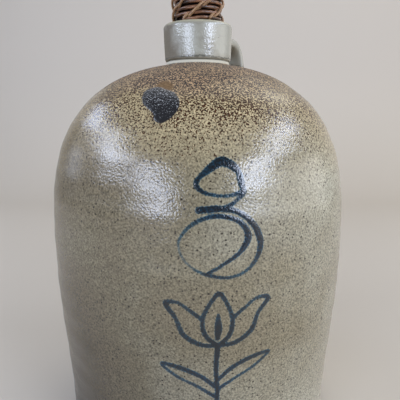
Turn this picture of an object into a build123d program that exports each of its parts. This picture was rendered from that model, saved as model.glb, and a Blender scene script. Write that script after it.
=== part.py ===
"""Three-gallon stoneware crock jug with a strap handle and a wicker-wrapped cork stopper.

Millimetres. The jug stands on Z = 0 around the Z axis, and the handle is at the back, on +Y.
"""

import math
import os

from build123d import *

os.makedirs("parts", exist_ok=True)

# Thrown body: straight-sided wall with a soft belly, squarish dome and a short neck stub.
belly_radius = 127.0
belly_height = 145.0
foot_radius = 120.3
foot_rounding = 9.0
dome_rise = 165.3
dome_power_out = 2.23
dome_power_up = 3.35
dome_spans = 4
wall = 7.0
floor_thickness = 10.0
floor_rounding = 16.0
neck_radius = 26.8
neck_fillet = 2.4
neck_stub = 1.1

# Collar ring: rounded foot, band that widens a little upwards, and a rounded lip.
bore_radius = 18.0
collar_height = 29.6
collar_foot_radius = 28.1
collar_foot_rounding = 2.0
band_radius = 28.7
band_top_radius = 29.1
lip_rounding = 3.2
mouth_rounding = 1.5

# Pulled strap handle: rises from the collar, turns over and drops to the shoulder.
handle_root_height = 16.9
handle_root_slope = 28.0
handle_arch_radius = 40.0
handle_run = 6.5
handle_bend_radius = 15.5
handle_bend_angle = 80.0
handle_sink = 6.0
strap_root_width = 30.0
strap_root_depth = 11.0
strap_middle_width = 26.0
strap_middle_depth = 9.0
strap_foot_width = 33.0
strap_foot_depth = 9.5
strap_edge_share = 0.42

# Stopper: cork, and a turned core with peg, flange, barrel, rounded top and button.
cork_clearance = 0.35
cork_taper = 2.2
cork_length = 21.0
peg_radius = 5.0
peg_length = 15.0
peg_clearance = 0.05
flange_radius = 20.4
flange_thickness = 0.9
barrel_radius = 17.4
barrel_length = 29.0
top_rounding = 12.0
button_radius = 4.2
button_height = 3.0

# Wicker: one unbroken winding on the core, and slanting lacing, in twisted pairs of strands, over it.
strand_radius = 1.25
strand_sides = 6
strand_gap = 0.3
winding_pitch = 4.1
winding_start = 260.0
winding_bends = 24
winding_end_radius = 9.0
lace_radius = 0.75
lace_sides = 5
lace_gap = 0.3
lace_pairs = 6
lace_twists = 3
lace_start = 27.0
lace_sweep = 190.0
lace_bends = 32
lace_lift = 0.4
tuck_radius = 3.2
tuck_bends = 4

dome_out = 2 / dome_power_out
dome_up = 2 / dome_power_up


def dome_point(radius, rise, angle):
    return Vector(radius * math.cos(angle) ** dome_out, belly_height + rise * math.sin(angle) ** dome_up)


def dome_end(radius, end_radius):
    return math.acos((end_radius / radius) ** (1 / dome_out))


def biarc(start, start_way, end, end_way):
    """Two arcs that leave one point and reach another along the ways given."""
    span = end - start
    lean = span.dot(start_way + end_way)
    bend = 2 * (1 - start_way.dot(end_way))
    reach = span.dot(span) / (lean + math.sqrt(lean**2 + bend * span.dot(span)))
    middle = (start + start_way * reach + end - end_way * reach) / 2
    return [TangentArc(start, middle, tangent=start_way), TangentArc(end, middle, tangent=-end_way)]


def dome_curve(radius, rise, end_radius):
    """The dome's arcs, from the belly's upright wall in to a smaller radius."""
    end = dome_end(radius, end_radius)
    small = 1e-4
    arcs = []
    point = dome_point(radius, rise, 0)
    way = Vector(0, 1)
    for k in range(dome_spans):
        angle = end * (k + 1) / dome_spans
        ahead = dome_point(radius, rise, angle)
        beyond = dome_point(radius, rise, angle + small)
        ahead_way = (beyond - dome_point(radius, rise, angle - small)).normalized()
        arcs += biarc(point, way, ahead, ahead_way)
        point = ahead
        way = ahead_way
    return arcs, point


def wall_curve(low, high):
    return biarc(Vector(*low), Vector(0, 1), Vector(*high), Vector(0, 1))


def turned(*curves):
    return revolve(Plane.XZ * make_face(curves), Axis.Z)


# Jug body: the outside turned as one lump, then the inside and the neck's hole turned out of it.
shoulder_radius = neck_radius + neck_fillet
shoulder, shoulder_end = dome_curve(belly_radius, dome_rise, shoulder_radius)
shoulder_height = shoulder_end.Y
stub_base = shoulder_height + neck_fillet
seat = stub_base + neck_stub
outside = turned(
    Line((0, 0), (foot_radius - foot_rounding, 0)),
    RadiusArc((foot_radius - foot_rounding, 0), (foot_radius, foot_rounding), -foot_rounding),
    *wall_curve((foot_radius, foot_rounding), (belly_radius, belly_height)),
    *shoulder,
    RadiusArc((shoulder_radius, shoulder_height), (neck_radius, stub_base), neck_fillet),
    Polyline((neck_radius, stub_base), (neck_radius, seat), (0, seat), (0, 0)),
)
inner_radius = belly_radius - wall
inner_foot = foot_radius - wall
ceiling, ceiling_end = dome_curve(inner_radius, dome_rise - wall, bore_radius)
inside = turned(
    Line((0, floor_thickness), (inner_foot - floor_rounding, floor_thickness)),
    RadiusArc(
        (inner_foot - floor_rounding, floor_thickness),
        (inner_foot, floor_thickness + floor_rounding),
        -floor_rounding,
    ),
    *wall_curve((inner_foot, floor_thickness + floor_rounding), (inner_radius, belly_height)),
    *ceiling,
    Polyline(ceiling_end, (bore_radius, seat), (0, seat), (0, floor_thickness)),
)
jug_body = outside - inside

# Neck collar, standing on the stub.
rim = seat + collar_height
band_base = seat + collar_foot_rounding
band_top = rim - lip_rounding
lip_inner = band_top_radius - lip_rounding
collar_outside = turned(
    Line((0, seat), (collar_foot_radius - collar_foot_rounding, seat)),
    RadiusArc(
        (collar_foot_radius - collar_foot_rounding, seat),
        (collar_foot_radius, band_base),
        -collar_foot_rounding,
    ),
    ThreePointArc(
        (collar_foot_radius, band_base),
        (band_radius, (band_base + band_top) / 2),
        (band_top_radius, band_top),
    ),
    RadiusArc((band_top_radius, band_top), (lip_inner, rim), -lip_rounding),
    Polyline((lip_inner, rim), (0, rim), (0, seat)),
)
mouth = turned(
    Polyline((0, rim), (0, seat), (bore_radius, seat), (bore_radius, rim - mouth_rounding)),
    RadiusArc((bore_radius, rim - mouth_rounding), (bore_radius + mouth_rounding, rim), mouth_rounding),
    Line((bore_radius + mouth_rounding, rim), (0, rim)),
)
neck_collar = collar_outside - mouth

# Strap handle: swept through three sections, then trimmed to the collar's and the shoulder's own faces.
root = Vector((bore_radius + band_radius) / 2, seat + handle_root_height)
rise = math.radians(handle_root_slope)
arch = JernArc(root, (math.cos(rise), math.sin(rise)), handle_arch_radius, -handle_root_slope)
run = Line(arch @ 1, (arch @ 1) + Vector(handle_run, 0))
bend = JernArc(run @ 1, (1, 0), handle_bend_radius, -handle_bend_angle)
landing = dome_point(belly_radius, dome_rise, dome_end(belly_radius, (bend @ 1).X))
drop = Line(bend @ 1, (bend @ 1) + (bend % 1) * ((bend @ 1).Y - landing.Y + handle_sink))
spine = Plane.YZ * Wire([arch, run, bend, drop])


def strap_section(place, width, depth):
    plane = Plane(origin=spine @ place, x_dir=(1, 0, 0), z_dir=spine % place)
    return plane * RectangleRounded(width, depth, strap_edge_share * depth)


strap = sweep(
    [
        strap_section(0, strap_root_width, strap_root_depth),
        strap_section(0.5, strap_middle_width, strap_middle_depth),
        strap_section(1, strap_foot_width, strap_foot_depth),
    ],
    path=spine,
    multisection=True,
)
strap_handle = strap - outside - collar_outside

# Cork plug, hung under the core's flange.
cork_radius = bore_radius - cork_clearance
cork = Pos(0, 0, rim - cork_length) * Cone(
    cork_radius - cork_taper, cork_radius, cork_length, align=(Align.CENTER, Align.CENTER, Align.MIN)
)
peg_hole = Pos(0, 0, rim) * Cylinder(
    peg_radius + peg_clearance, 2 * (peg_length + peg_clearance), align=Align.CENTER
)
cork_plug = cork - peg_hole

# Turned core.
flange_top = rim + flange_thickness
barrel_top = flange_top + barrel_length
core_top = barrel_top + top_rounding
crown_radius = barrel_radius - top_rounding
button_top = core_top + button_height
knob_core = turned(
    Polyline((0, rim - peg_length), (peg_radius, rim - peg_length), (peg_radius, rim), (flange_radius, rim)),
    Polyline((flange_radius, rim), (flange_radius, flange_top), (barrel_radius, flange_top)),
    Line((barrel_radius, flange_top), (barrel_radius, barrel_top)),
    RadiusArc((barrel_radius, barrel_top), (crown_radius, core_top), -top_rounding),
    Polyline((crown_radius, core_top), (button_radius, core_top), (button_radius, button_top)),
    Polyline((button_radius, button_top), (0, button_top), (0, rim - peg_length)),
)

# Wicker: the winding's own centre line is a profile that lies just off the core.
layer = strand_gap + strand_radius
layer_turn = (top_rounding + layer) * math.pi / 2


def profile(along, off):
    """Radius, height and lean of the surface a distance off the winding's centre line."""
    if along < barrel_length:
        return barrel_radius + layer + off, flange_top + along, 0.0
    lean = min((along - barrel_length) / (top_rounding + layer), math.pi / 2)
    flat = max(along - barrel_length - layer_turn, 0.0)
    reach = top_rounding + layer + off
    return crown_radius + reach * math.cos(lean) - flat, barrel_top + reach * math.sin(lean), lean


def placed(radius, height, turn):
    return Vector(radius * math.cos(turn), radius * math.sin(turn), height)


def strand(points, outward, radius, sides):
    """A strand through its bends, with one polygon section square to the run at each."""
    sections = []
    for k, point in enumerate(points):
        ahead = points[min(k + 1, len(points) - 1)] - points[max(k - 1, 0)]
        sections.append(Plane(origin=point, x_dir=outward[k], z_dir=ahead) * RegularPolygon(radius, sides))
    return loft(sections, ruled=True, clean=False)


winding_points = []
winding_outward = []
step = 0
along = layer
radius, height, lean = profile(along, 0)
while radius > winding_end_radius:
    turn = math.radians(winding_start + 360 * step / winding_bends)
    winding_points.append(placed(radius, height, turn))
    winding_outward.append(placed(math.cos(lean), math.sin(lean), turn))
    step += 1
    along = layer + winding_pitch * step / winding_bends
    radius, height, lean = profile(along, 0)
winding_run = along
wicker_winding = strand(winding_points, winding_outward, strand_radius, strand_sides)
least = min(
    (a - b).length
    for k, a in enumerate(winding_points)
    for b in winding_points[k + winding_bends // 2 :]
)
print("winding turns", round(step / winding_bends, 2), "least gap", round(least - 2 * strand_radius, 2), "mm")

# Lacing, from just above the rim up over the winding and down beside the button.
ply_reach = lace_radius + lace_gap / 2
lace_off = strand_radius + lace_gap + lace_radius + ply_reach
lace_low = lace_lift + lace_radius + ply_reach - flange_thickness
lace_strands = {}
for pair in range(lace_pairs):
    middle = []
    outward = []
    for k in range(lace_bends + 1):
        along = lace_low + (winding_run - lace_low) * k / lace_bends
        turn = math.radians(lace_start + 360 * pair / lace_pairs + lace_sweep * k / lace_bends)
        radius, height, lean = profile(along, lace_off)
        middle.append(placed(radius, height, turn))
        outward.append(placed(math.cos(lean), math.sin(lean), turn))
    for k in range(1, tuck_bends + 1):
        dive = math.pi / 2 * k / tuck_bends
        reach = radius - tuck_radius * math.sin(dive)
        middle.append(placed(reach, height - tuck_radius * (1 - math.cos(dive)), turn))
        outward.append(placed(-math.sin(dive), math.cos(dive), turn))
    for ply in range(2):
        points = []
        for k, point in enumerate(middle):
            ahead = middle[min(k + 1, len(middle) - 1)] - middle[max(k - 1, 0)]
            side = ahead.cross(outward[k]).normalized()
            phase = math.pi * ply + 2 * math.pi * lace_twists * min(k / lace_bends, 1)
            points.append(point + (side * math.cos(phase) + outward[k] * math.sin(phase)) * ply_reach)
        name = f"lacing_strand_{2 * pair + ply + 1}"
        lace_strands[name] = strand(points, outward, lace_radius, lace_sides)

nodes = {
    "jug_body": jug_body,
    "neck_collar": neck_collar,
    "strap_handle": strap_handle,
    "cork_plug": cork_plug,
    "knob_core": knob_core,
    "wicker_winding": wicker_winding,
    **lace_strands,
}
for name, solid in nodes.items():
    solid.label = name
    export_step(solid, f"parts/{name}.step")
print("capacity", round(inside.volume / 1e6, 2), "litres, rim at", round(rim, 1), "mm")
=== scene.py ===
import math

import bpy
import numpy as np
from mathutils import Matrix, Vector


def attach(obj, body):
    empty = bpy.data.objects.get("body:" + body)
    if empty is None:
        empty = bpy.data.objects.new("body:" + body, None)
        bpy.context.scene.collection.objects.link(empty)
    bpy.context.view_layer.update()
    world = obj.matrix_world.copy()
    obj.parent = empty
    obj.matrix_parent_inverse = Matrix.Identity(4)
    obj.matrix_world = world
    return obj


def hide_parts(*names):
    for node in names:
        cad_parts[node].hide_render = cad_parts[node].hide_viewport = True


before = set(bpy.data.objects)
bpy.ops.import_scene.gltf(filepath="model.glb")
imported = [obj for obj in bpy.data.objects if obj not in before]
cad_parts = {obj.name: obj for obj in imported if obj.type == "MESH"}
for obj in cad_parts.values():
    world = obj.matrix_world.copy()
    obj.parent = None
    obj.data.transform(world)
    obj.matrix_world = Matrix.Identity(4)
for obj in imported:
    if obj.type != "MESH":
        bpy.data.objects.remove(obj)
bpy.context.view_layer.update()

# Jug body: one thrown hollow of grey-tan stoneware, upright wall, high shoulder and a short neck stub.
# Fired once with salt, so the clay itself is the glaze: tan, orange-peeled, iron-freckled on the shoulder.
# The figure and the sprig were trailed on in cobalt slip before firing, on the side seen 30 degrees from -Y.
mm = 0.001
belly_radius, belly_height = 127.0, 145.0
foot_radius, foot_rounding = 120.3, 9.0
dome_rise, dome_out, dome_up = 165.3, 2 / 2.23, 2 / 3.35
wall, floor_thickness, floor_rounding = 7.0, 10.0, 16.0
neck_radius, neck_fillet, neck_stub, bore_radius = 26.8, 2.4, 1.1, 18.0
front = math.radians(30)
fine_from, fine_to, drip_from = math.radians(-15.5), math.radians(24.5), math.radians(-28)
fine_turn, drip_turn, plain_turn = math.radians(0.36), math.radians(0.62), math.radians(3.0)
fine_step, dome_step, plain_step = 0.86, 1.15, 3.4
figure_row, figure_top = 74, 246.0


def spaced(points, spacing):
    """A polyline of radius and height, divided again into even steps."""
    points = np.array(points, float)
    run = np.concatenate([[0], np.cumsum(np.hypot(*np.diff(points, axis=0).T))])
    at = np.linspace(0, run[-1], max(round(run[-1] / spacing), 1) + 1)
    return np.stack([np.interp(at, run, points[:, 0]), np.interp(at, run, points[:, 1])], 1)


def bow(centre_r, centre_z, radius, start, end, count=7):
    """An arc of a profile, by its centre and its angles in degrees."""
    turns = np.radians(np.linspace(start, end, count))
    return np.stack([centre_r + radius * np.cos(turns), centre_z + radius * np.sin(turns)], 1)


def dome(radius, rise, end_radius):
    """The shoulder's profile, from the belly in to a smaller radius."""
    end = math.acos((end_radius / radius) ** (1 / dome_out))
    turns = np.linspace(0, end, 600)
    return np.stack([radius * np.cos(turns) ** dome_out, belly_height + rise * np.sin(turns) ** dome_up], 1)


def swell(low_radius, low_height, high_radius):
    """The wall's profile from foot to belly, upright at both ends."""
    share = np.linspace(0, 1, 200)
    radii = low_radius + (high_radius - low_radius) * share**2 * (3 - 2 * share)
    return np.stack([radii, low_height + (belly_height - low_height) * share], 1)


def joined(*runs):
    """Several runs of a profile as one, without their doubled ends."""
    return np.concatenate([run if k == 0 else run[1:] for k, run in enumerate(runs)])


def turned(name, profile, angles, ring=False):
    """A closed mesh in metres, of a profile in millimetres turned about Z."""
    count = len(angles)
    poles = [] if ring else [0, len(profile) - 1]
    verts = []
    rows = []
    for k, (radius, height) in enumerate(profile):
        rows.append(len(verts))
        if k in poles:
            verts.append((0.0, 0.0, height))
        else:
            verts += [(radius * math.sin(a), -radius * math.cos(a), height) for a in angles]
    faces = []
    for k in range(len(profile) if ring else len(profile) - 1):
        after = (k + 1) % len(profile)
        for c in range(count):
            d = (c + 1) % count
            if k in poles:
                faces.append((rows[k], rows[after] + d, rows[after] + c))
            elif after in poles:
                faces.append((rows[k] + c, rows[k] + d, rows[after]))
            else:
                faces.append((rows[k] + c, rows[k] + d, rows[after] + d, rows[after] + c))
    mesh = bpy.data.meshes.new(name)
    mesh.from_pydata(np.array(verts) * mm, [], faces)
    mesh.shade_smooth()
    return mesh


shoulder_radius = neck_radius + neck_fillet
shoulder = dome(belly_radius, dome_rise, shoulder_radius)
shoulder_height = shoulder[-1, 1]
seat = shoulder_height + neck_fillet + neck_stub
wall_run = swell(foot_radius, foot_rounding, belly_radius)
outside = joined(
    spaced([(0, 0), (foot_radius - foot_rounding, 0)], 14),
    bow(foot_radius - foot_rounding, foot_rounding, foot_rounding, -90, 0),
    spaced(wall_run[: figure_row + 1], plain_step),
    spaced(wall_run[figure_row:], fine_step),
    spaced(shoulder[shoulder[:, 1] < figure_top], fine_step),
    spaced(shoulder[shoulder[:, 1] >= figure_top], dome_step),
    bow(shoulder_radius, shoulder_height + neck_fillet, neck_fillet, 270, 180, 6),
    spaced([(neck_radius, shoulder_height + neck_fillet), (neck_radius, seat)], 0.8),
    spaced([(neck_radius, seat), (bore_radius, seat)], 3.0),
)
ceiling = dome(belly_radius - wall, dome_rise - wall, bore_radius)
inner_foot = foot_radius - wall
inside = joined(
    spaced([(bore_radius, seat), ceiling[-1]], 3.0),
    spaced(ceiling[::-1], 6.0),
    spaced(swell(inner_foot, floor_thickness + floor_rounding, belly_radius - wall)[::-1], 8.0),
    bow(inner_foot - floor_rounding, floor_thickness + floor_rounding, floor_rounding, 0, -90),
    spaced([(inner_foot - floor_rounding, floor_thickness), (0, floor_thickness)], 18.0),
)
angles = front + np.concatenate(
    [
        np.arange(fine_from, fine_to, fine_turn),
        np.arange(fine_to, 2 * math.pi + drip_from, plain_turn),
        np.arange(drip_from, fine_from, drip_turn) + 2 * math.pi,
    ]
)
body_mesh = turned("jug_body_glazed", joined(outside, inside), angles)

# Slip strokes: distance in mm across the belly from the front line, height, half width, strength.
# A point out of reach of every stroke counts as far off.
slip_low, slip_high, far_off = 38.0, 250.0, -6.0
slip_strokes = [
    [(29.6, 222.6, 1.4, 0.95), (28.4, 231, 1.2, 0.9), (23.5, 237.2, 2.3, 1.0), (15.8, 240.2, 2.7, 1.0),
     (8.4, 236.6, 2.2, 0.95), (1.6, 231.4, 1.3, 0.85), (-1.4, 227.0, 1.4, 1.0), (2.6, 222.4, 1.0, 0.9),
     (11, 220.0, 0.8, 0.75), (20, 219.7, 0.8, 0.7), (28.6, 221.6, 1.2, 0.9)],
    [(26.2, 233.6, 0.9, 0.9), (27.0, 228, 0.8, 0.9), (29.6, 222.2, 1.9, 1.0), (25.6, 217.2, 0.9, 0.8),
     (20, 213.2, 1.2, 0.85), (15.2, 211.6, 1.6, 1.0)],
    [(0.4, 211.0, 1.9, 0.95), (7.6, 211.6, 1.9, 1.0), (15.4, 211.8, 1.7, 1.0), (25.8, 209.2, 1.4, 0.95),
     (35.6, 201.4, 1.8, 1.0), (40.8, 189.4, 1.9, 1.0), (37.8, 177.6, 1.2, 0.8), (29.2, 169.8, 0.8, 0.65),
     (17.6, 167.2, 0.8, 0.8), (5.0, 169.6, 0.9, 0.85)],
    [(5.0, 169.8, 0.8, 0.9), (14.8, 175.2, 0.8, 0.9), (26, 182.8, 1.2, 0.95), (32.2, 192.2, 2.0, 1.0),
     (29.4, 200.6, 1.6, 0.95), (21.6, 205.6, 1.2, 0.95), (10, 207.2, 1.2, 0.9), (-0.4, 204.2, 1.1, 0.7),
     (-9, 197.4, 0.9, 0.55), (-12.4, 189.2, 0.7, 0.4), (-9.8, 180.6, 0.6, 0.35), (-3, 173.6, 0.6, 0.4),
     (4.2, 169.9, 0.8, 0.8)],
    [(11.6, 44, 0.7, 0.6), (12.6, 62, 1.2, 0.9), (13.4, 82, 1.4, 1.0), (12.2, 100, 1.3, 1.0),
     (13.0, 119, 1.6, 1.0)],
    [(13.0, 119, 1.5, 1.0), (4.6, 127.4, 1.3, 0.9), (3.0, 139, 1.2, 0.85), (7.6, 149.6, 1.1, 0.85),
     (13.4, 156.4, 1.4, 0.95), (18.6, 149.6, 1.1, 0.8), (22.6, 138.4, 1.3, 0.85), (20.8, 126.8, 1.4, 0.9),
     (13.0, 118.6, 1.5, 1.0)],
    [(13.0, 119, 1.2, 0.9), (1.4, 120.4, 1.3, 0.85), (-9.6, 127.6, 1.5, 0.8), (-15.0, 139.4, 1.2, 0.75),
     (-21.4, 149.6, 1.5, 0.9), (-13.4, 150.4, 0.9, 0.7), (-5.2, 144.6, 1.0, 0.75), (2.8, 138.2, 1.2, 0.85)],
    [(13.2, 119, 1.2, 0.9), (25.2, 120.8, 1.3, 0.85), (35.6, 128.2, 1.5, 0.85), (40.6, 140.2, 1.2, 0.8),
     (47.4, 150.0, 1.5, 0.9), (39.2, 151.2, 0.9, 0.7), (31.0, 145.4, 1.0, 0.75), (22.8, 138.6, 1.2, 0.85)],
    [(12.8, 124.6, 1.3, 1.0), (13.2, 132.4, 2.3, 1.0), (13.0, 141.6, 0.7, 0.8)],
    [(12.6, 86, 1.2, 0.9), (2.0, 95.4, 1.3, 0.85), (-12.6, 102.0, 1.5, 0.9), (-25.4, 104.2, 1.0, 0.8),
     (-14.8, 95.2, 0.9, 0.7), (-1.2, 87.8, 0.9, 0.7), (12.2, 78.4, 1.2, 0.9)],
    [(13.2, 92, 1.2, 0.9), (23.4, 101.0, 1.3, 0.85), (37.4, 107.2, 1.5, 0.9), (50.4, 108.8, 1.0, 0.8),
     (40.0, 100.2, 0.9, 0.7), (26.8, 93.2, 0.9, 0.7), (13.4, 84.4, 1.2, 0.9)],
]


def flowing(points, steps=26):
    """A smooth run through the points given, as a hand would trail it."""
    points = np.array(points, float)
    held = np.vstack([2 * points[0] - points[1], points, 2 * points[-1] - points[-2]])
    t = np.linspace(0, 1, steps, endpoint=False)[:, None]
    spans = []
    for a, b, c, d in zip(held, held[1:], held[2:], held[3:]):
        spans.append(b + 0.5 * t * (c - a + t * (2 * a - 5 * b + 4 * c - d + t * (3 * (b - c) + d - a))))
    return np.concatenate([*spans, points[-1:]])


places = np.empty(len(body_mesh.vertices) * 3)
body_mesh.vertices.foreach_get("co", places)
places = places.reshape(-1, 3) * 1000
heights = places[:, 2]
radii = np.hypot(places[:, 0], places[:, 1])
bearing = (np.arctan2(places[:, 0], -places[:, 1]) - front + math.pi) % (2 * math.pi) - math.pi
outer_count = 1 + (len(outside) - 1) * len(angles)
on_outside = np.arange(len(places)) < outer_count
slip_edge = np.full(len(places), far_off)
slip_tone = np.zeros(len(places))
near = np.flatnonzero(
    on_outside & (radii > 100) & (heights > slip_low) & (heights < slip_high)
    & (bearing > fine_from) & (bearing < fine_to)
)
trail = np.concatenate([flowing(stroke) for stroke in slip_strokes])
for part in np.array_split(near, 40):
    across = bearing[part, None] * belly_radius - trail[None, :, 0]
    gap = np.hypot(across * radii[part, None] / belly_radius, heights[part, None] - trail[None, :, 1])
    inward = trail[None, :, 2] - gap
    best = inward.argmax(1)
    slip_edge[part] = np.maximum(inward[np.arange(len(part)), best], far_off)
    slip_tone[part] = trail[best, 3]

# A drip of dark kiln glass with an amber tip, melted on to the shoulder in the firing.
# Its outlines are in degrees round from the front line and mm of height, on a ring of the shoulder in mm.
drip_ring, drip_lowest, drip_innermost, drip_round = 94.0, 250.0, 40.0, 0.7
drip_outline = [
    (-23.9, 279.4), (-24.0, 284.2), (-19.2, 286.8), (-14.4, 285.0), (-9.9, 282.6), (-7.2, 276.8),
    (-7.4, 271.2), (-9.6, 266.4), (-12.5, 263.0), (-15.3, 264.6), (-16.7, 269.4), (-19.4, 272.6),
    (-22.0, 275.2), (-23.9, 279.4),
]
amber_outline = [
    (-20.0, 286.4), (-18.6, 290.6), (-13.8, 290.0), (-11.6, 285.4), (-15.2, 283.4), (-20.0, 286.4),
]
shoulder_run = np.concatenate([[0], np.cumsum(np.hypot(*np.diff(shoulder, axis=0).T))])


def reach_within(outline):
    """How far each point of the outside lies within an outline on the shoulder, in mm."""
    corners = flowing(outline, 6)
    corner_runs = np.interp(corners[:, 1], shoulder[:, 1], shoulder_run)
    corners = np.stack([np.radians(corners[:, 0]) * drip_ring, corner_runs], 1)
    reach = np.full(len(places), far_off)
    close = np.flatnonzero(
        on_outside & (heights > drip_lowest) & (radii > drip_innermost) & (np.abs(bearing) < drip_round)
    )
    spots = np.stack([bearing[close] * drip_ring, np.interp(heights[close], shoulder[:, 1], shoulder_run)], 1)
    least = np.full(len(close), 1e9)
    within = np.zeros(len(close), bool)
    for a, b in zip(corners[:-1], corners[1:]):
        share = np.clip(((spots - a) @ (b - a)) / max((b - a) @ (b - a), 1e-9), 0, 1)
        least = np.minimum(least, np.linalg.norm(spots - a - share[:, None] * (b - a), axis=1))
        crossed = (a[1] > spots[:, 1]) != (b[1] > spots[:, 1])
        rise = b[1] - a[1] if b[1] != a[1] else 1e-9
        within ^= crossed & (spots[:, 0] < a[0] + (spots[:, 1] - a[1]) * (b[0] - a[0]) / rise)
    reach[close] = np.maximum(np.where(within, least, -least), far_off)
    return reach


drip_edge = reach_within(drip_outline)
amber_edge = reach_within(amber_outline)
marks = {"slip_edge": slip_edge, "slip_tone": slip_tone, "drip_edge": drip_edge, "amber_edge": amber_edge}
for name, values in marks.items():
    body_mesh.attributes.new(name, "FLOAT", "POINT").data.foreach_set("value", values.astype(np.float32))

# The slip and the drip stand a little proud, and the wall keeps faint rings from the potter's fingers.
slip_lift, drip_lift, lowest_ring, highest_ring = 0.22, 0.75, 14.0, 300.0
normals = np.empty(len(places) * 3)
body_mesh.vertex_normals.foreach_get("vector", normals)
normals = normals.reshape(-1, 3)
rings = 0.10 * np.sin(heights / 2.9 + 0.6 * np.sin(bearing)) + 0.14 * np.sin(heights / 6.1 + bearing)
lift = np.where(on_outside & (heights > lowest_ring) & (heights < highest_ring), rings, 0.0)
lift += slip_lift * np.clip((slip_edge + 0.4) / 1.4, 0, 1) * slip_tone
lift += drip_lift * np.clip((drip_edge + 0.3) / 2.2, 0, 1) ** 0.7
body_mesh.vertices.foreach_set("co", ((places + normals * lift[:, None]) * mm).ravel())
body_mesh.update()


def linear(code):
    """A hex colour as the eye reads it, turned to linear light."""
    parts = [int(code[k : k + 2], 16) / 255 for k in (1, 3, 5)]
    return (*[p / 12.92 if p <= 0.04045 else ((p + 0.055) / 1.055) ** 2.4 for p in parts], 1.0)


def fill(tree, node, links):
    """A node's inputs, each linked or set."""
    for place, value in links.items():
        if isinstance(value, bpy.types.NodeSocket):
            tree.links.new(value, node.inputs[place])
        else:
            node.inputs[place].default_value = value


def add(tree, kind, links, out=0, stops=None, **settings):
    """One shader or geometry node with its settings, links and colour stops, as one of its outputs."""
    made = tree.nodes.new(kind if kind.startswith("Geometry") else f"ShaderNode{kind}")
    for name, value in settings.items():
        setattr(made, name, value)
    fill(tree, made, links)
    if stops:
        colours = made.color_ramp.elements
        for place in list(stops)[1:-1]:
            colours.new(place)
        for colour, (place, code) in zip(colours, stops.items()):
            colour.position, colour.color = place, linear(code)
    return made.outputs[out]


def begun(name):
    """A new material, its tree and its shader."""
    material = bpy.data.materials.new(name)
    material.use_nodes = True
    return material, material.node_tree, material.node_tree.nodes["Principled BSDF"]


def specks(tree, where, spacing_mm, rare, largest, blur, depth):
    """Iron specks: round spots of chance size, one to a cell, and none in most cells."""
    cell = add(tree, "TexVoronoi", {"Vector": where, "Scale": 1000 / spacing_mm})
    chance = add(tree, "SeparateColor", {0: cell.node.outputs["Color"]})
    size = add(tree, "MapRange", {"Value": chance, "From Min": rare, "To Max": largest})
    rim_size = add(tree, "Math", {0: size, 1: blur}, operation="SUBTRACT")
    return add(
        tree, "MapRange",
        {"Value": cell, "From Min": rim_size, "From Max": size, "To Min": depth, "To Max": 0.0},
    )


# Salt glaze: tan-grey and glossy, with the fine wrinkled skin and iron freckles that salt vapour leaves.
# The sizes of its patterns are in mm: flame drift, patches, freckles, specks, grain, drip crumbs and skin.
# Then come the heights in mm over which it turns warm, rusty and brown, and over which a painted shade on the
# lower left fades upward.
drift_mm, patch_mm, freckle_mm, speck_mm, grain_mm, crumb_mm, peel_mm = 90.0, 22.0, 1.14, 2.1, 1.3, 0.95, 1.3
warm_band, rust_band, brown_band, low_band, waver_mm = (252, 332), (255, 318), (314, 335), (50, 300), 70
flame_and_light_pull, peel_depth = 1.5, 0.19
glaze, tree, shader = begun("salt_glaze")
where = add(tree, "TexCoord", {}, "Object")
height = add(tree, "SeparateXYZ", {0: where}, "Z")
drift, patch, freckle, grain, crumbs, peel = [
    add(tree, "TexNoise", {"Vector": where, "Scale": 1000 / size, "Detail": detail})
    for size, detail in (
        (drift_mm, 3.0), (patch_mm, 2.0), (freckle_mm, 1.5), (grain_mm, 2.0), (crumb_mm, 1.0), (peel_mm, 0.5)
    )
]
# The flame's side lies to the right; the ground below runs darker to the left, partly flash colour, partly
# painted shade.
flame_and_light_way = (flame_and_light_pull * math.cos(front), flame_and_light_pull * math.sin(front), 0.0)
flame_and_lit_side = add(tree, "VectorMath", {0: where, 1: flame_and_light_way}, "Value", operation="DOT_PRODUCT")
flash_and_side_shade = add(tree, "Math", {0: drift, 1: 0.6, 2: flame_and_lit_side}, operation="MULTIPLY_ADD")
ground = add(
    tree, "ValToRGB", {"Fac": flash_and_side_shade},
    stops={0.06: "#6f6248", 0.17: "#877a60", 0.30: "#8e8469", 0.52: "#bab6a0"},
)
waver = add(tree, "Math", {0: drift, 1: waver_mm * mm, 2: height}, operation="MULTIPLY_ADD")
warm, brown_part = [
    add(
        tree, "MapRange", {"Value": waver, "From Min": low * mm, "From Max": high * mm},
        interpolation_type="SMOOTHSTEP",
    )
    for low, high in (warm_band, brown_band)
]
low_part, rust = [
    add(
        tree, "MapRange",
        {"Value": waver, "From Min": low * mm, "From Max": high * mm, "To Min": below, "To Max": above},
    )
    for (low, high), below, above in ((low_band, 1.0, 0.0), (rust_band, 0.75, 0.52))
]
# Painted shade: the lower wall on the left is darkened, as if little light reached it from the floor.
left_shade_part = add(
    tree, "MapRange", {"Value": flame_and_lit_side, "From Min": -0.15, "From Max": 0.05, "To Min": 1.0, "To Max": 0.0}
)
painted_low_shade = add(tree, "Math", {0: low_part, 1: left_shade_part}, operation="MULTIPLY")
rust_low = add(tree, "Math", {0: patch, 1: -0.10, 2: rust}, operation="MULTIPLY_ADD")
rust_high = add(tree, "Math", {0: rust_low, 1: 0.035}, operation="ADD")
rust_spots = add(tree, "MapRange", {"Value": freckle, "From Min": rust_low, "From Max": rust_high})
rust_tint = add(tree, "Mix", {0: brown_part, 6: linear("#42230a"), 7: linear("#221006")}, 2, data_type="RGBA")
speck = specks(tree, where, speck_mm, 0.42, 0.42, 0.12, 0.95)
grain_level = add(
    tree, "MapRange", {"Value": grain, "From Min": 0.3, "From Max": 0.7, "To Min": 0.46, "To Max": 1.46}
)
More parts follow.
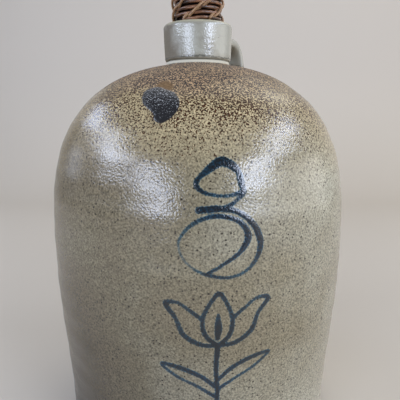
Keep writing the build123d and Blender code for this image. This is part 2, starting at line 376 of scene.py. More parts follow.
# A pale ring on the stub is the glaze's own colour; the dark band just below the collar is a painted shadow
# of its foot.
ring_part, collar_shadow_part = [
    add(
        tree, "MapRange",
        {"Value": height, "From Min": (seat - under) * mm, "From Max": (seat - over) * mm, "To Max": depth},
    )
    for under, over, depth in ((3.1, 2.1, 1.0), (0.9, 0.1, 0.9))
]
edge, tone, drip_reach, amber_reach = [
    add(tree, "Attribute", {}, "Fac", attribute_name=name) for name in marks
]
ragged = add(tree, "Math", {0: freckle, 1: 1.5, 2: edge}, operation="MULTIPLY_ADD")
slip_part = add(tree, "MapRange", {"Value": ragged, "From Max": 1.2}, interpolation_type="SMOOTHSTEP")
grainy = add(
    tree, "MapRange", {"Value": grain, "From Min": 0.35, "From Max": 0.65, "To Min": 1.08, "To Max": 0.84}
)
thickness = add(tree, "Math", {0: slip_part, 1: tone}, operation="MULTIPLY")
cover = add(tree, "Math", {0: thickness, 1: grainy}, operation="MULTIPLY")
stain = add(
    tree, "ValToRGB", {"Fac": cover}, stops={0.0: "#ffffff", 0.42: "#6ca6dc", 0.75: "#0e548c", 1.0: "#012444"}
)
amber = add(
    tree, "MapRange", {"Value": amber_reach, "From Min": -2.2, "From Max": 1.0, "To Max": 0.85},
    interpolation_type="SMOOTHSTEP",
)
drip_ragged = add(tree, "Math", {0: patch, 1: 2.0, 2: drip_reach}, operation="MULTIPLY_ADD")
drip = add(tree, "MapRange", {"Value": drip_ragged, "From Min": 0.7, "From Max": 1.3})
crumbs_up = add(tree, "Math", {0: height, 1: 7.0, 2: crumbs}, operation="MULTIPLY_ADD")
crust = add(tree, "MapRange", {"Value": crumbs_up, "From Min": 2.50, "From Max": 2.68})
glass = add(tree, "Mix", {0: crust, 6: linear("#191a1d"), 7: linear("#b2b1ae")}, 2, data_type="RGBA")
tint = ground
# In these mixes the darkening on the lower left and the dark band just under the collar are painted shade.
for part, colour, blend in (
    (painted_low_shade, linear("#1e160b"), "MIX"),
    (warm, linear("#c8b386"), "MIX"),
    (brown_part, linear("#b6956c"), "MIX"),
    (rust_spots, rust_tint, "MIX"),
    (speck, linear("#241b11"), "MIX"),
    (1.0, grain_level, "MULTIPLY"),
    (ring_part, linear("#d0c9b2"), "MIX"),
    (collar_shadow_part, linear("#4d473a"), "MIX"),
    (1.0, stain, "MULTIPLY"),
    (amber, linear("#6b4a1c"), "MIX"),
    (drip, glass, "MIX"),
):
    tint = add(tree, "Mix", {0: part, 6: tint, 7: colour}, 2, data_type="RGBA", blend_type=blend)
skin = add(tree, "Bump", {"Strength": 1.0, "Distance": peel_depth * mm, "Height": peel})
sheen = add(
    tree, "MapRange", {"Value": patch, "From Min": 0.3, "From Max": 0.7, "To Min": 0.18, "To Max": 0.27}
)
dryness = add(tree, "Math", {0: brown_part, 1: 0.5, 2: sheen}, operation="MULTIPLY_ADD")
fill(tree, shader, {"Base Color": tint, "Roughness": dryness, "Specular IOR Level": 0.8, "Normal": skin})

# Bare fired clay under the foot, where the jug stood on the kiln shelf: dry, sandy and pinkish tan.
sand_mm, sand_depth = 1.4, 0.3
clay, tree, shader = begun("bare_stoneware")
where = add(tree, "TexCoord", {}, "Object")
sand = add(tree, "TexNoise", {"Vector": where, "Scale": 1000 / sand_mm, "Detail": 3.0})
clay_tint = add(tree, "ValToRGB", {"Fac": sand}, stops={0.3: "#8f7d68", 0.7: "#b5a48c"})
grit = add(tree, "Bump", {"Strength": 0.7, "Distance": sand_depth * mm, "Height": sand})
fill(tree, shader, {"Base Color": clay_tint, "Roughness": 0.85, "Normal": grit})

# Brown slip poured round the inside to seal it: dark chocolate, glossy, thinner and redder in streaks.
streak_mm = 33.0
liner, tree, shader = begun("brown_slip_lining")
where = add(tree, "TexCoord", {}, "Object")
streak = add(tree, "TexNoise", {"Vector": where, "Scale": 1000 / streak_mm, "Detail": 3.0})
liner_tint = add(tree, "ValToRGB", {"Fac": streak}, stops={0.35: "#2c1a10", 0.7: "#4f3120"})
fill(tree, shader, {"Base Color": liner_tint, "Roughness": 0.25})


def placed(name, data):
    """A finished mesh, light or camera as an object in the scene, at the origin and unturned."""
    piece = bpy.data.objects.new(name, data)
    bpy.context.scene.collection.objects.link(piece)
    return piece


for material in (glaze, clay, liner):
    body_mesh.materials.append(material)
columns = len(angles)
foot_rows = int(np.sum(outside[:, 1] < 1.0))
slots = np.zeros(len(body_mesh.polygons), np.int32)
slots[: (foot_rows - 1) * columns] = 1
slots[(len(outside) - 1) * columns :] = 2
body_mesh.polygons.foreach_set("material_index", slots)
jug_body = placed("jug_body_glazed", body_mesh)
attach(jug_body, "jug")
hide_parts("jug_body")

# Neck collar: a thick thrown ring of the same clay, luted on the stub, with a rolled lip and a plain bore.
# It stood highest in the salt, so its glaze is pale grey and smooth.
collar_height, collar_foot_radius, collar_foot_rounding = 29.6, 28.1, 2.0
band_radius, band_top_radius, lip_rounding, mouth_rounding = 28.7, 29.1, 3.2, 1.5
rim = seat + collar_height
band_low, band_tall = seat + collar_foot_rounding, collar_height - lip_rounding - collar_foot_rounding
collar_flat, lip_flat, mouth_flat = (
    collar_foot_radius - collar_foot_rounding, band_top_radius - lip_rounding, bore_radius + mouth_rounding
)
band_share = np.linspace(0, 1, 24)
band_heights = band_low + band_tall * band_share
band_radii = collar_foot_radius + (band_top_radius - collar_foot_radius) * band_share
band_radii += (band_radius - (collar_foot_radius + band_top_radius) / 2) * (1 - (2 * band_share - 1) ** 2)
band_radii += 0.03 * np.sin(band_heights * 1.4) * np.sin(math.pi * band_share)
collar_profile = joined(
    spaced([(bore_radius, seat), (collar_flat, seat)], 3.0),
    bow(collar_flat, band_low, collar_foot_rounding, -90, 0, 8),
    np.stack([band_radii, band_heights], 1),
    bow(lip_flat, rim - lip_rounding, lip_rounding, 0, 90, 12),
    spaced([(lip_flat, rim), (mouth_flat, rim)], 1.2),
    bow(mouth_flat, rim - mouth_rounding, mouth_rounding, 90, 180, 6),
    spaced([(bore_radius, rim - mouth_rounding), (bore_radius, seat)], 3.0),
)[:-1]
collar_turns = np.linspace(0, 2 * math.pi, 128, endpoint=False)
collar_mesh = turned("neck_collar_glazed", collar_profile, collar_turns, ring=True)

# Pale salt glaze of the collar and handle: cool grey, browner and duller on the left, few freckles.
# The sizes of its patterns are in mm: flame drift, specks, flecks along the seam and the skin.
drift_mm, speck_mm, fleck_mm, peel_mm = 26.0, 3.8, 4.8, 1.2
flame_and_light_pull, peel_depth, lip_waver, seam_waver = 5.0, 0.16, 6.0, 4.2
pit_turn, pit_up, pit_core, pit_edge = front + math.radians(19), 7.4, 0.6, 1.1
pale, tree, shader = begun("pale_salt_glaze")
where = add(tree, "TexCoord", {}, "Object")
height = add(tree, "SeparateXYZ", {0: where}, "Z")
drift, fleck, peel = [
    add(tree, "TexNoise", {"Vector": where, "Scale": 1000 / size, "Detail": detail})
    for size, detail in ((drift_mm, 3.0), (fleck_mm, 3.0), (peel_mm, 0.0))
]
flame_and_light_way = (flame_and_light_pull * math.cos(front), flame_and_light_pull * math.sin(front), 0.0)
flame_and_lit_side = add(tree, "VectorMath", {0: where, 1: flame_and_light_way}, "Value", operation="DOT_PRODUCT")
# As on the body, the ground runs darker to the left: partly flash colour, partly painted shade.
flash_and_side_shade = add(tree, "Math", {0: drift, 1: flame_and_lit_side}, operation="ADD")
ground = add(tree, "ValToRGB", {"Fac": flash_and_side_shade}, stops={0.32: "#6c614c", 0.57: "#b0ae9f"})
speck = specks(tree, where, speck_mm, 0.7, 0.2, 0.08, 0.8)
waver = add(tree, "Math", {0: drift, 1: -lip_waver * mm, 2: height}, operation="MULTIPLY_ADD")
# The lip is paler and creamier: partly the thin glaze's own colour, partly a painted highlight along its
# rounded edge.
lip_tint_and_highlight = add(
    tree, "MapRange",
    {"Value": waver, "From Min": (rim - 6.0) * mm, "From Max": (rim - 3.0) * mm, "To Max": 0.75},
    interpolation_type="SMOOTHSTEP",
)
# Towards the foot the collar turns browner and darker, with a dark line along its lower edge: partly a joint,
# partly painted shade.
foot_part = add(
    tree, "MapRange",
    {"Value": waver, "From Min": (seat - 3.4) * mm, "From Max": (seat + 2.6) * mm,
     "To Min": 0.7, "To Max": 0.0},
)
seam_up = add(tree, "Math", {0: fleck, 1: -seam_waver * mm, 2: height}, operation="MULTIPLY_ADD")
seam_off = add(tree, "Math", {0: seam_up, 1: seat * mm}, operation="SUBTRACT")
seam_away = add(tree, "Math", {0: seam_off}, operation="ABSOLUTE")
seam_width = add(
    tree, "MapRange",
    {"Value": drift, "From Min": 0.35, "From Max": 0.6, "To Min": 0.3 * mm, "To Max": 1.2 * mm},
)
seam_and_shade_line = add(tree, "MapRange", {"Value": seam_away, "From Max": seam_width, "To Min": 0.8, "To Max": 0.0})
pit_x, pit_y = band_radius * math.sin(pit_turn), -band_radius * math.cos(pit_turn)
pit_place = (pit_x * mm, pit_y * mm, (seat + pit_up) * mm)
pit_away = add(tree, "VectorMath", {0: where, 1: pit_place}, "Value", operation="DISTANCE")
pit = add(
    tree, "MapRange",
    {"Value": pit_away, "From Min": pit_core * mm, "From Max": pit_edge * mm, "To Min": 0.95, "To Max": 0.0},
)
# Painted shade on the handle's underside, where it lands on the shoulder, carried on the mesh.
painted_handle_shade = add(tree, "Attribute", {}, "Fac", attribute_name="painted_handle_shade")
tint = ground
for part, code in (
    (speck, "#463e33"), (lip_tint_and_highlight, "#c2ba98"), (foot_part, "#7d7460"),
    (seam_and_shade_line, "#3b3a31"), (pit, "#22252a"), (painted_handle_shade, "#2e2c26"),
):
    tint = add(tree, "Mix", {0: part, 6: tint, 7: linear(code)}, 2, data_type="RGBA")
skin = add(tree, "Bump", {"Strength": 1.0, "Distance": peel_depth * mm, "Height": peel})
dullness = add(
    tree, "MapRange", {"Value": flash_and_side_shade, "From Min": 0.42, "From Max": 0.475, "To Min": 0.65, "To Max": 0.25}
)
fill(tree, shader, {"Base Color": tint, "Roughness": dullness, "Specular IOR Level": 0.9, "Normal": skin})
collar_mesh.materials.append(pale)
neck_collar = placed("neck_collar_glazed", collar_mesh)
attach(neck_collar, "jug")
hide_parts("neck_collar")

# Strap handle: a strap of clay pulled by hand, flat with soft edges, wider where it is luted on.
# It leaves the back of the collar, bends over in a small loop and is pressed down on the shoulder.
root_y, root_z = (bore_radius + band_radius) / 2, seat + 16.9
arch_radius, arch_angle, bend_radius, bend_angle = 40.0, 28.0, 15.5, 80.0
handle_run, handle_step, handle_press, soften = 6.5, 0.5, 5.0, 8
strap_widths, strap_depths, groove_depth, groove_half = [29.0, 25.4, 31.0], [10.4, 8.8, 9.4], 0.7, 5.0
collar_fillet, collar_fade, shoulder_fillet, shoulder_fade = 3.6, 2.6, 4.4, 3.4
# The last two numbers are the depth and reach of the painted shade on the strap's underside.
web_depth, web_fade, handle_shade_depth, handle_shade_fade = 2.4, 6.0, 0.9, 11.0
arch_length = arch_radius * math.radians(arch_angle)
bend_length = bend_radius * math.radians(bend_angle)
heading = np.interp(
    np.arange(0, 100, handle_step),
    [0, arch_length, arch_length + handle_run, arch_length + handle_run + bend_length],
    np.radians([arch_angle, 0, 0, -bend_angle]),
)
window = np.ones(2 * soften + 1) / (2 * soften + 1)
heading = np.convolve(np.pad(heading, soften, mode="edge"), window, mode="valid")
path_y = root_y + np.concatenate([[0], np.cumsum(np.cos(heading[:-1]) * handle_step)])
path_z = root_z + np.concatenate([[0], np.cumsum(np.sin(heading[:-1]) * handle_step)])
ground_z = np.interp(path_y, shoulder[::-1, 0], shoulder[::-1, 1])
landing = int(np.argmax(path_z < ground_z))
last = landing + round(handle_press / handle_step)
leave = int(np.argmax(path_y > band_radius - 0.4))
around = np.radians(np.linspace(0, 360, 48, endpoint=False))
underside = np.clip(-np.sin(around), 0, 1) ** 0.5
verts = []
handle_shade_values = []
for k in range(last + 1):
    share = k / last
    width = np.interp(share, [0, 0.5, 1], strap_widths)
    depth = np.interp(share, [0, 0.5, 1], strap_depths)
    from_collar = max(k - leave, 0) * handle_step
    from_landing = max(landing - k, 0) * handle_step
    spread = collar_fillet * math.exp(-from_collar / collar_fade)
    spread += shoulder_fillet * math.exp(-from_landing / shoulder_fade)
    across = np.sign(np.cos(around)) * np.abs(np.cos(around)) ** 0.62 * (width / 2 + 0.9 * spread)
    off = np.sign(np.sin(around)) * np.abs(np.sin(around)) ** 0.74 * (depth / 2 + 0.75 * spread)
    off -= np.where(np.sin(around) > 0, groove_depth * np.exp(-((across / groove_half) ** 2)), 0)
    off -= underside * web_depth * math.exp(-((from_collar / web_fade) ** 2))
    # Painted shade: the strap's underside is darkened near where it lands on the shoulder.
    handle_shade_values.append(handle_shade_depth * underside * math.exp(-((from_landing / handle_shade_fade) ** 2)))
    across += 0.25 * math.sin(share * 11 + 1)
    up_y, up_z = -math.sin(heading[k]), math.cos(heading[k])
    verts += [(x, path_y[k] + n * up_y, path_z[k] + n * up_z) for x, n in zip(across, off)]
sides = len(around)
faces = [tuple(range(sides)), tuple(reversed(range(last * sides, (last + 1) * sides)))]
for k in range(last):
    for c in range(sides):
        d = (c + 1) % sides
        faces.append((k * sides + d, k * sides + c, (k + 1) * sides + c, (k + 1) * sides + d))
handle_mesh = bpy.data.meshes.new("strap_handle_glazed")
handle_mesh.from_pydata(np.array(verts) * mm, [], faces)
handle_mesh.shade_smooth()
handle_mesh.attributes.new("painted_handle_shade", "FLOAT", "POINT").data.foreach_set("value", np.concatenate(handle_shade_values))
handle_mesh.materials.append(pale)
strap_handle = placed("strap_handle_glazed", handle_mesh)
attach(strap_handle, "jug")
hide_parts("strap_handle")

# Cork plug: natural cork cut to a taper, with a blind hole for the peg of the knob's core.
# It is glued on that peg, and grips the bore when it is pushed home.
cork_radius, cork_taper, cork_length, cork_rounding = 17.65, 2.2, 21.0, 0.8
peg_radius, peg_length, glue = 5.0, 15.0, 0.05
cork_end, cork_small = rim - cork_length, cork_radius - cork_taper
hole_radius, hole_end = peg_radius + glue, rim - peg_length - glue
cork_profile = joined(
    spaced([(0, cork_end), (cork_small - cork_rounding, cork_end)], 3.0),
    bow(cork_small - cork_rounding, cork_end + cork_rounding, cork_rounding, -90, -8, 5),
    spaced([(cork_small, cork_end + 1.0), (cork_radius, rim - glue)], 0.9),
    spaced([(cork_radius, rim - glue), (hole_radius, rim - glue)], 3.0),
    spaced([(hole_radius, rim - glue), (hole_radius, hole_end)], 3.0),
    spaced([(hole_radius, hole_end), (0, hole_end)], 2.0),
)
knob_turns = np.linspace(0, 2 * math.pi, 96, endpoint=False)
cork_mesh = turned("cork_plug_bark", cork_profile, knob_turns)

# Natural cork: warm tan crumbs 2 mm across, with dark lens-shaped pores 8 mm apart.
crumb_mm, pore_mm, pore_flatness, pore_depth = 1.9, 7.7, 3.0, 0.4
cork, tree, shader = begun("cork")
where = add(tree, "TexCoord", {}, "Object")
crumb = add(tree, "TexNoise", {"Vector": where, "Scale": 1000 / crumb_mm, "Detail": 3.0})
cork_tint = add(tree, "ValToRGB", {"Fac": crumb}, stops={0.3: "#8a6540", 0.65: "#b58d60"})
flat = add(tree, "Mapping", {"Vector": where, "Scale": (1.0, 1.0, pore_flatness)})
pore_noise = add(tree, "TexNoise", {"Vector": flat, "Scale": 1000 / pore_mm, "Detail": 2.0})
pore = add(tree, "MapRange", {"Value": pore_noise, "From Min": 0.6, "From Max": 0.66, "To Max": 0.85})
pored = add(tree, "Mix", {0: pore, 6: cork_tint, 7: linear("#3e2616")}, 2, data_type="RGBA")
hollow = add(tree, "Math", {0: crumb, 1: pore}, operation="SUBTRACT")
pitted = add(tree, "Bump", {"Strength": 0.8, "Distance": pore_depth * mm, "Height": hollow})
fill(tree, shader, {"Base Color": pored, "Roughness": 0.8, "Normal": pitted})
cork_mesh.materials.append(cork)
cork_plug = placed("cork_plug_bark", cork_mesh)
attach(cork_plug, "stopper")
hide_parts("cork_plug")

# Knob core: one piece of turned wood, with peg, flange, barrel, rounded top and a small button.
# It is almost black, partly its dark stain and partly painted shade, so the gaps in the wicker read almost
# black; the flange rests on the collar's rim.
flange_radius, flange_thickness, barrel_radius, barrel_length = 20.4, 0.9, 17.4, 29.0
top_rounding, button_radius, button_height, button_rounding = 12.0, 4.2, 3.0, 1.5
flange_top, flange_rounding = rim + flange_thickness, flange_thickness / 2
flange_flat = flange_radius - flange_rounding
barrel_top = flange_top + barrel_length
core_top = barrel_top + top_rounding
button_top, button_flat = core_top + button_height, button_radius - button_rounding
crown_radius = barrel_radius - top_rounding
core_profile = joined(
    spaced([(0, rim - peg_length), (peg_radius, rim - peg_length)], 2.5),
    spaced([(peg_radius, rim - peg_length), (peg_radius, rim)], 4.0),
    spaced([(peg_radius, rim), (flange_flat, rim)], 4.0),
    bow(flange_flat, rim + flange_rounding, flange_rounding, -90, 90, 9),
    spaced([(flange_flat, flange_top), (barrel_radius, flange_top)], 1.5),
    spaced([(barrel_radius, flange_top), (barrel_radius, barrel_top)], 4.0),
    bow(crown_radius, barrel_top, top_rounding, 0, 90, 16),
    spaced([(crown_radius, core_top), (button_radius, core_top)], 0.8),
    spaced([(button_radius, core_top), (button_radius, button_top - button_rounding)], 0.8),
    bow(button_flat, button_top - button_rounding, button_rounding, 0, 90, 7),
    spaced([(button_flat, button_top), (0, button_top)], 1.4),
)
core_mesh = turned("knob_core_wood", core_profile, knob_turns)
core_mesh.set_sharp_from_angle(angle=math.radians(50))

# Turned wood stained almost black, which also serves as painted shade in the wicker's gaps, dull, with a
# grain 2 mm across that runs up the knob.
figure_mm, figure_stretch = 2.4, 0.12
wood, tree, shader = begun("dark_turned_wood")
where = add(tree, "TexCoord", {}, "Object")
long = add(tree, "Mapping", {"Vector": where, "Scale": (1.0, 1.0, figure_stretch)})
figure = add(tree, "TexNoise", {"Vector": long, "Scale": 1000 / figure_mm, "Detail": 3.0})
wood_tint_and_gap_shade = add(tree, "ValToRGB", {"Fac": figure}, stops={0.3: "#0d0604", 0.7: "#1f110a"})
fill(tree, shader, {"Base Color": wood_tint_and_gap_shade, "Roughness": 0.9, "Specular IOR Level": 0.1})
core_mesh.materials.append(wood)
knob_core = placed("knob_core_wood", core_mesh)
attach(knob_core, "stopper")
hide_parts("knob_core")

# Wicker winding: one unbroken peeled shoot, wound wet round the barrel and spiralled in over the top.
# Each turn lies on the core and close to the next, and the shoot is a little uneven, as willow is.
strand_radius, strand_gap, winding_pitch, winding_turns = 1.25, 0.3, 4.1, 11.0
winding_start, winding_swell, winding_seed, winding_bends = 260.0, 1.1, 7, 44
winding_unevenness, winding_waver = 0.5, 1.2
layer = strand_gap + strand_radius


def wrap(along, off, turn):
    """Points round the core, a distance off the winding's centre line, and the ways out from them."""
    lean = np.clip((along - barrel_length) / (top_rounding + layer), 0, math.pi / 2)
    reach = top_rounding + layer + off
    radius = crown_radius + reach * np.cos(lean)
    height = flange_top + np.minimum(along, barrel_length) + reach * np.sin(lean)
    points = np.stack([radius * np.cos(turn), radius * np.sin(turn), height], 1)
    return points, np.stack([np.cos(lean) * np.cos(turn), np.cos(lean) * np.sin(turn), np.sin(lean)], 1)


def path_object(name, runs):
    """A curve in metres with one run of points for each strand."""
    curve = bpy.data.curves.new(name, "CURVE")
    curve.dimensions = "3D"
    for points in runs:
        spline = curve.splines.new("POLY")
        spline.points.add(len(points) - 1)
        spline.points.foreach_set("co", np.append(points * mm, np.ones((len(points), 1)), 1).ravel())
    return placed(name, curve)


steps = np.linspace(0, winding_turns, round(winding_turns * winding_bends))
turn = math.radians(winding_start) + 2 * math.pi * steps
winding_path = path_object("winding_path", [wrap(layer + winding_pitch * steps, 0.0, turn)[0]])


def shoot_fibres(tree, fibre_mm, fibres_round):
    """The lie of a shoot's surface, along it and round it, and its fibres, which run along it."""
    run, side = [
        add(tree, "Attribute", {}, "Fac", attribute_name=name)
        for name in ("strand_run", "strand_side")
    ]
    lay = add(tree, "CombineXYZ", {0: run, 1: side})
    fibre_lay = add(tree, "Mapping", {"Vector": lay, "Scale": (1000 / fibre_mm, fibres_round, 1.0)})
    return lay, add(tree, "TexNoise", {"Vector": fibre_lay, "Scale": 1.0, "Detail": 3.0})


# Peeled willow: dark red-brown with age and a soft sheen, fibres 5 mm and stains 20 mm long along the shoot.
fibre_mm, stain_mm, fibres_round, fibre_depth = 5.5, 19.0, 18.0, 0.2
wicker, tree, shader = begun("peeled_willow")
lay, fibre = shoot_fibres(tree, fibre_mm, fibres_round)
wicker_tint = add(tree, "ValToRGB", {"Fac": fibre}, stops={0.3: "#200b04", 0.68: "#c58c64"})
stain_lay = add(tree, "Mapping", {"Vector": lay, "Scale": (1000 / stain_mm, 1.0, 1.0)})
stain = add(tree, "TexNoise", {"Vector": stain_lay, "Scale": 1.0, "Detail": 2.0})
stain_part = add(tree, "MapRange", {"Value": stain, "From Min": 0.40, "From Max": 0.60, "To Max": 0.92})
stained = add(tree, "Mix", {0: stain_part, 6: wicker_tint, 7: linear("#180a06")}, 2, data_type="RGBA")
rough_fibre = add(tree, "Bump", {"Strength": 0.6, "Distance": fibre_depth * mm, "Height": fibre})
fill(
    tree, shader, {"Base Color": stained, "Roughness": 0.32, "Specular IOR Level": 0.6, "Normal": rough_fibre}
)

# A tree sweeps a round section along a path; knots 6 mm apart swell it, and bends 13 mm apart lead it astray.
knot_mm, stray_mm, strand_sides, strand_shift = 6.25, 1000 / 75, 12, 0.37
strand_tree = tree = bpy.data.node_groups.new("wicker_strand", "GeometryNodeTree")
tree.is_modifier = True
for label, kind in (
    ("Path", "NodeSocketGeometry"), ("Radius", "NodeSocketFloat"), ("Flatness", "NodeSocketFloat"),
    ("Unevenness", "NodeSocketFloat"), ("Waver", "NodeSocketFloat"), ("Seed", "NodeSocketFloat"),
    ("Material", "NodeSocketMaterial"),
):
    tree.interface.new_socket(label, in_out="INPUT", socket_type=kind)
tree.interface.new_socket("Strands", in_out="OUTPUT", socket_type="NodeSocketGeometry")
given = tree.nodes.new("NodeGroupInput").outputs
spot = add(tree, "GeometryNodeInputPosition", {})
bumps, sway = [
    add(
        tree, "TexNoise",
        {"Vector": spot, "W": given["Seed"], "Scale": 1000 / size, "Detail": detail}, out,
        noise_dimensions="4D",
    )
    for size, detail, out in ((knot_mm, 1.0, 0), (stray_mm, 0.0, "Color"))
]
swing = add(tree, "Math", {0: bumps, 1: 0.5}, operation="SUBTRACT")
uneven = add(tree, "Math", {0: swing, 1: given["Unevenness"], 2: 1.0}, operation="MULTIPLY_ADD")
sway_about = add(tree, "VectorMath", {0: sway, 1: (0.5, 0.5, 0.5)}, operation="SUBTRACT")
astray = add(tree, "VectorMath", {0: sway_about, "Scale": given["Waver"]}, operation="SCALE")
wavered = add(tree, "GeometryNodeSetPosition", {"Geometry": given["Path"], "Offset": astray})
length = add(tree, "GeometryNodeSplineParameter", {}, "Length")
number = add(tree, "GeometryNodeCurveOfPoint", {}, "Curve Index")
run_on = add(tree, "Math", {0: number, 1: strand_shift, 2: length}, operation="MULTIPLY_ADD")
marked = add(
    tree, "GeometryNodeStoreNamedAttribute",
    {"Geometry": wavered, "Name": "strand_run", "Value": run_on}, data_type="FLOAT", domain="POINT",
)
swelled = add(tree, "GeometryNodeSetCurveRadius", {"Curve": marked, "Radius": uneven})
section = add(
    tree, "GeometryNodeCurvePrimitiveCircle",
    {"Resolution": strand_sides, "Radius": given["Radius"]}, mode="RADIUS",
)
ways = add(tree, "CombineXYZ", {0: given["Flatness"], 1: 1.0, 2: 1.0})
flattened = add(tree, "GeometryNodeTransform", {"Geometry": section, "Scale": ways})
turn_share = add(tree, "GeometryNodeSplineParameter", {}, "Factor")
section_marked = add(
    tree, "GeometryNodeStoreNamedAttribute",
    {"Geometry": flattened, "Name": "strand_side", "Value": turn_share}, data_type="FLOAT", domain="POINT",
)
swept = add(
    tree, "GeometryNodeCurveToMesh", {"Curve": swelled, "Profile Curve": section_marked, "Fill Caps": True}
)
smooth = add(tree, "GeometryNodeSetShadeSmooth", {"Geometry": swept})
whole = add(tree, "GeometryNodeRealizeInstances", {"Geometry": smooth})
dressed = add(tree, "GeometryNodeSetMaterial", {"Geometry": whole, "Material": given["Material"]})
fill(tree, tree.nodes.new("NodeGroupOutput"), {0: dressed})


def stranded(path, name, values):
    """The path's strands as one plain mesh, made by the strand tree with the values given."""
    modifier = path.modifiers.new("strands", "NODES")
    modifier.node_group = strand_tree
    for socket in strand_tree.interface.items_tree:
        if socket.in_out == "INPUT" and socket.name in values:
            modifier[socket.identifier] = values[socket.name]
    held = path.evaluated_get(bpy.context.evaluated_depsgraph_get())
    mesh = bpy.data.meshes.new_from_object(held)
    mesh.name = name
    path.modifiers.remove(modifier)
    bpy.data.objects.remove(path)
    return placed(name, mesh)


wicker_winding = stranded(
    winding_path, "wicker_winding_willow",
    {"Radius": strand_radius * winding_swell * mm, "Flatness": 1.0, "Unevenness": winding_unevenness,
     "Waver": winding_waver * mm, "Seed": float(winding_seed), "Material": wicker},
)
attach(wicker_winding, "stopper")
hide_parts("wicker_winding")

# Lacing: twelve paler split shoots, twined in six pairs that slant over the winding round the knob.
# In a pair one shoot passes over two turns while the other passes behind, and at the next gap they change.
# Each pair starts at the rim, and its ends are tucked in beside the button on the core's top.
lace_radius, lace_pairs, lace_start, lace_sweep = 1.08, 6, 27.0, 190.0
lace_low, lace_off, lace_tuck, tuck_radius, lace_seed = 1.3, 0.9, 1.2, 3.2, 3
ply_side, ply_out, ply_fade, lace_unevenness, lace_waver = 1.0, 1.7, 0.06, 0.4, 0.8
chance_of = np.random.default_rng(lace_seed)
share = np.linspace(0, 1, 160)
dive = np.linspace(0, math.pi / 2, 9)[1:, None]
fade = np.append(np.clip((1 - share) / ply_fade, 0, 1), np.zeros(len(dive)))[:, None]
upward = np.array([0.0, 0.0, 1.0])
lace_runs = []
for pair in range(lace_pairs):
    astray_turn, astray_sweep = chance_of.uniform(-3, 3), chance_of.uniform(-6, 6)
    along = lace_low + (layer + winding_pitch * winding_turns - lace_low) * share
    sweep = (lace_sweep + astray_sweep) * share
    turn = np.radians(lace_start + 360 * pair / lace_pairs + astray_turn + sweep)
    middle, outward = wrap(along, lace_off + lace_tuck * share**6, turn)
    inward = -np.array([math.cos(turn[-1]), math.sin(turn[-1]), 0.0])
    tucked = middle[-1] + tuck_radius * (np.sin(dive) * inward - (1 - np.cos(dive)) * upward)
    middle = np.concatenate([middle, tucked])
    outward = np.concatenate([outward, np.sin(dive) * inward + np.cos(dive) * upward])
    side = np.cross(np.gradient(middle, axis=0), outward)
    side /= np.linalg.norm(side, axis=1, keepdims=True)
    row = (along - layer) / winding_pitch - (turn - math.radians(winding_start)) / (2 * math.pi)
    phase = math.pi / 2 * (np.append(row, np.full(len(dive), row[-1]))[:, None] - 0.5)
    over = ply_out * fade * np.sign(np.sin(phase)) * np.abs(np.sin(phase)) ** 0.6
    beside = ply_side * (fade * np.cos(phase) + 1 - fade)
    for ply in (1, -1):
        lace_runs.append(middle + ply * (beside * side + over * outward))
lacing_path = path_object("lacing_path", lace_runs)

# Split cane: paler and yellower than the willow, with fibres 5 mm long.
fibre_mm, fibres_round, fibre_depth = 4.8, 21.0, 0.2
lace, tree, shader = begun("split_cane")
lay, fibre = shoot_fibres(tree, fibre_mm, fibres_round)
lace_tint = add(tree, "ValToRGB", {"Fac": fibre}, stops={0.3: "#50301a", 0.66: "#c29a70"})
rough_fibre = add(tree, "Bump", {"Strength": 0.5, "Distance": fibre_depth * mm, "Height": fibre})
fill(tree, shader, {"Base Color": lace_tint, "Roughness": 0.45, "Normal": rough_fibre})
lacing = stranded(
    lacing_path, "lacing_cane",
    {"Radius": lace_radius * mm, "Flatness": 1.0, "Unevenness": lace_unevenness,
     "Waver": lace_waver * mm, "Seed": float(lace_seed), "Material": lace},
)
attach(lacing, "stopper")
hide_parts(*[f"lacing_strand_{k + 1}" for k in range(2 * lace_pairs)])

# Floor and backdrop: one plain sweep of pale paper, unrolled square to the camera.
# It lies level under the jug and curves up behind it, so that no edge shows.
sweep_side, sweep_front, sweep_back, sweep_bend, sweep_height = 2.0, 1.2, 1.3, 0.5, 2.2
bend_turns = np.radians(np.linspace(-90, 0, 17))
bend_away = sweep_back - sweep_bend + sweep_bend * np.cos(bend_turns)
sweep_away = np.concatenate([[-sweep_front], bend_away, [sweep_back]])
sweep_up = np.concatenate([[0.0], sweep_bend + sweep_bend * np.sin(bend_turns), [sweep_height]])
across_x, across_y = math.cos(front), math.sin(front)
verts = []
for away, up in zip(sweep_away, sweep_up):
    for aside in (-sweep_side, sweep_side):
        verts.append((aside * across_x - away * across_y, aside * across_y + away * across_x, up))
faces = [(2 * k, 2 * k + 1, 2 * k + 3, 2 * k + 2) for k in range(len(sweep_away) - 1)]
floor_mesh = bpy.data.meshes.new("floor_sweep")
floor_mesh.from_pydata(verts, [], faces)
floor_mesh.shade_smooth()


def to_the_eye(tree):
    """One for rays that the eye follows, straight or by a reflection, and nought for diffuse rays."""
    ray = tree.nodes.new("ShaderNodeLightPath").outputs
    glossy, clear = ray["Is Glossy Ray"], ray["Is Transmission Ray"]
    bent = add(tree, "Math", {0: glossy, 1: clear}, operation="ADD")
    return add(tree, "Math", {0: ray["Is Camera Ray"], 1: bent}, operation="ADD")


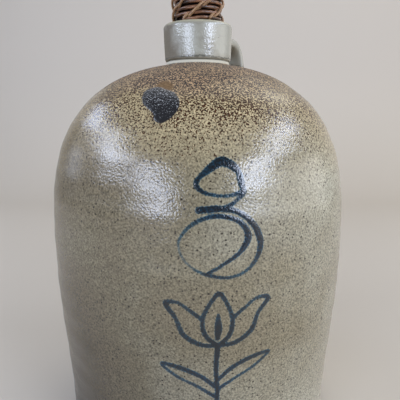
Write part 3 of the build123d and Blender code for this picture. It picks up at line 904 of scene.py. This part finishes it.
# Matt paper, pale to the eye and in every reflection. Its level part is darker to diffuse rays alone, so that
# it throws little light up on the jug, and the low part of the wall keeps its shade.
paper, tree, shader = begun("pale_paper")
where = add(tree, "TexCoord", {}, "Object")
height = add(tree, "SeparateXYZ", {0: where}, "Z")
upright = add(tree, "MapRange", {"Value": height, "From Max": sweep_bend})
shown = to_the_eye(tree)
level_tint = add(tree, "Mix", {0: shown, 6: linear("#7d6a58"), 7: linear("#d6ccbc")}, 2, data_type="RGBA")
paper_tint = add(tree, "Mix", {0: upright, 6: level_tint, 7: linear("#e8dfd0")}, 2, data_type="RGBA")
fill(tree, shader, {"Base Color": paper_tint, "Roughness": 0.9})
floor_mesh.materials.append(paper)
floor = placed("floor_sweep", floor_mesh)

# Light: tall windows left and right of the camera, whose panes make the streaks on the shoulder.
# A soft light on the right and one behind fill in, and a grey room stands all round.
room_light, room_shown, jug_middle = 0.11, 0.32, Vector((0, 0, 0.2))
room = bpy.data.worlds.new("pale_room")
room.use_nodes = True
tree = room.node_tree
shown = to_the_eye(tree)
level = add(tree, "MapRange", {"Value": shown, "To Min": room_light, "To Max": room_shown})
fill(tree, tree.nodes["Background"], {"Color": linear("#d6d8dc"), "Strength": level})
bpy.context.scene.world = room


def lamp(name, start, end, across, power, tint):
    """A rectangular light along a line given square to the camera, facing the jug."""
    turn = Matrix.Rotation(front, 3, "Z")
    start, end = turn @ Vector(start), turn @ Vector(end)
    centre = (start + end) / 2
    along = (end - start).normalized()
    back = centre - jug_middle
    back = (back - along * back.dot(along)).normalized()
    light = bpy.data.lights.new(name, "AREA")
    light.shape = "RECTANGLE"
    light.size = (end - start).length
    light.size_y = across
    light.energy = power
    light.color = linear(tint)[:3]
    axes = Matrix((along, back.cross(along), back)).transposed().to_4x4()
    placed(name, light).matrix_world = Matrix.Translation(centre) @ axes


lamp("window_left_far", (-1.06, 0.77, 0.92), (-1.29, 0.02, 1.04), 0.26, 3.3, "#cfdfff")
lamp("window_left_middle", (-1.29, -0.05, 1.03), (-1.02, -0.80, 0.69), 0.36, 6.9, "#dce7ff")
lamp("window_left_low", (-1.28, -0.22, 0.74), (-1.18, -0.54, 0.60), 0.30, 1.7, "#dce7ff")
lamp("window_left_near", (-1.05, -1.05, 0.66), (-0.50, -1.45, 0.36), 0.38, 8.8, "#dce7ff")
lamp("window_right_near", (0.78, -1.29, 0.44), (1.25, -0.82, 1.02), 0.36, 12.5, "#dce7ff")
lamp("window_right_middle", (1.09, -0.70, 0.95), (1.295, -0.113, 1.157), 0.24, 3.9, "#dce7ff")
lamp("window_right_far", (1.19, -0.12, 1.06), (1.19, 0.22, 1.12), 0.26, 2.6, "#dce7ff")
lamp("soft_right", (2.0, -2.4, 0.45), (2.5, 0.8, 0.45), 0.9, 18.0, "#fffaf2")
lamp("sky_left", (-1.39, 0.19, 0.46), (-1.25, 0.62, 0.46), 0.34, 0.7, "#dfe9ff")
lamp("soft_behind", (-0.4, 0.9, 1.7), (1.6, 0.9, 1.7), 0.9, 8.0, "#fffdf8")

# Camera: at the photo's angle, close to the jug and level with the lower part of its shoulder.
# It looks down a little, so that the foot is cut off and the knob's top is out of the picture.
camera_away, camera_height, camera_tilt, camera_turn = 0.3636, 0.2702, 77.6, 0.29
camera_data = bpy.data.cameras.new("photo_camera")
camera_data.lens = 36.0
camera_data.sensor_width = 36.0
camera = placed("photo_camera", camera_data)
camera.location = (camera_away * math.sin(front), -camera_away * math.cos(front), camera_height)
camera.rotation_euler = (math.radians(camera_tilt), 0.0, front - math.radians(camera_turn))
bpy.context.scene.camera = camera
bpy.context.scene.view_settings.view_transform = "Standard"
